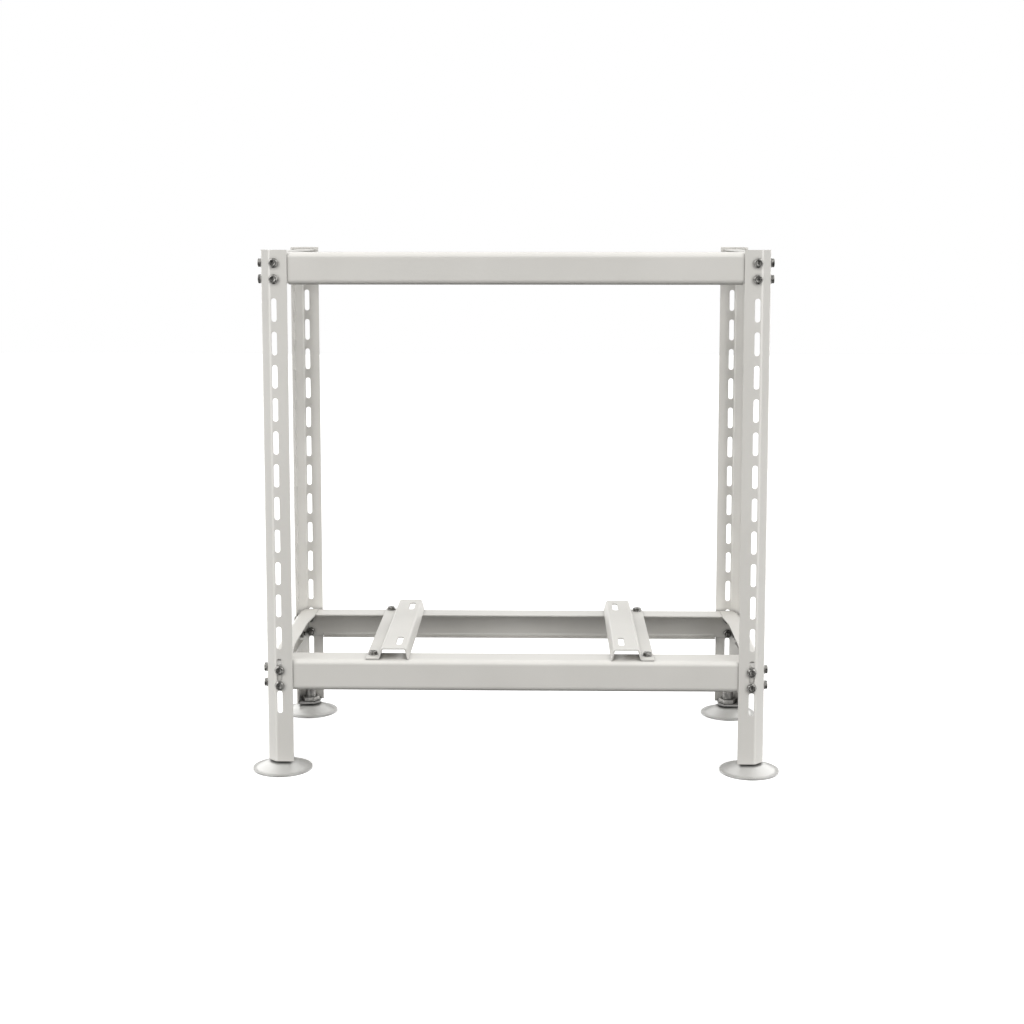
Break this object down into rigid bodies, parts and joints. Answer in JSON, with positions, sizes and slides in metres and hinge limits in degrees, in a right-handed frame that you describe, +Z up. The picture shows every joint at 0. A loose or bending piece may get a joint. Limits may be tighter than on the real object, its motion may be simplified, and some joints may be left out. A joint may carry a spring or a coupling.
{
  "type": "air conditioner outdoor unit bracket",
  "caption": "Free standing rack with slotted corner posts, folded rails at the top and near the feet, crossbars for an outdoor unit and round levelling feet.",
  "frame": {"origin": "on the floor, at the middle of the rack's footprint", "axes": "+Z up, -Y towards the front with the flanged top rail, +X to the right seen from the front"},
  "size_m": [0.893, 0.435, 0.88],
  "materials": {
    "powder_coat": "satin light warm grey powder coat",
    "foot_coat": "satin light warm grey powder coat",
    "plated_steel": "plain zinc plating, semi gloss",
    "galvanised_steel": "dull galvanised steel"
  },
  "bodies": {
    "root": {"foot_disc_back_left": "foot_coat", "foot_disc_back_right": "foot_coat", "foot_disc_front_left": "foot_coat", "foot_disc_front_right": "foot_coat", "foot_nut_back_left": "galvanised_steel", "foot_nut_back_right": "galvanised_steel", "foot_nut_front_left": "galvanised_steel", "foot_nut_front_right": "galvanised_steel", "foot_screw_back_left": "galvanised_steel", "foot_screw_back_right": "galvanised_steel", "foot_screw_front_left": "galvanised_steel", "foot_screw_front_right": "galvanised_steel", "left_crossbar": "powder_coat", "left_crossbar_bolts": "plated_steel", "left_crossbar_nuts": "plated_steel", "lower_back_rail": "powder_coat", "lower_bolts_back_left": "plated_steel", "lower_bolts_back_right": "plated_steel", "lower_bolts_front_left": "plated_steel", "lower_bolts_front_right": "plated_steel", "lower_front_rail": "powder_coat", "lower_left_rail": "powder_coat", "lower_nuts_back_left": "plated_steel", "lower_nuts_back_right": "plated_steel", "lower_nuts_front_left": "plated_steel", "lower_nuts_front_right": "plated_steel", "lower_right_rail": "powder_coat", "post_back_left": "powder_coat", "post_back_right": "powder_coat", "post_base_back_left": "powder_coat", "post_base_back_right": "powder_coat", "post_base_front_left": "powder_coat", "post_base_front_right": "powder_coat", "post_front_left": "powder_coat", "post_front_right": "powder_coat", "right_crossbar": "powder_coat", "right_crossbar_bolts": "plated_steel", "right_crossbar_nuts": "plated_steel", "top_bolts_back_left": "plated_steel", "top_bolts_back_right": "plated_steel", "top_bolts_front_left": "plated_steel", "top_bolts_front_right": "plated_steel", "top_front_rail": "powder_coat", "top_left_rail": "powder_coat", "top_nuts_back_left": "plated_steel", "top_nuts_back_right": "plated_steel", "top_nuts_front_left": "plated_steel", "top_nuts_front_right": "plated_steel", "top_right_rail": "powder_coat"}
  },
  "joints": []
}
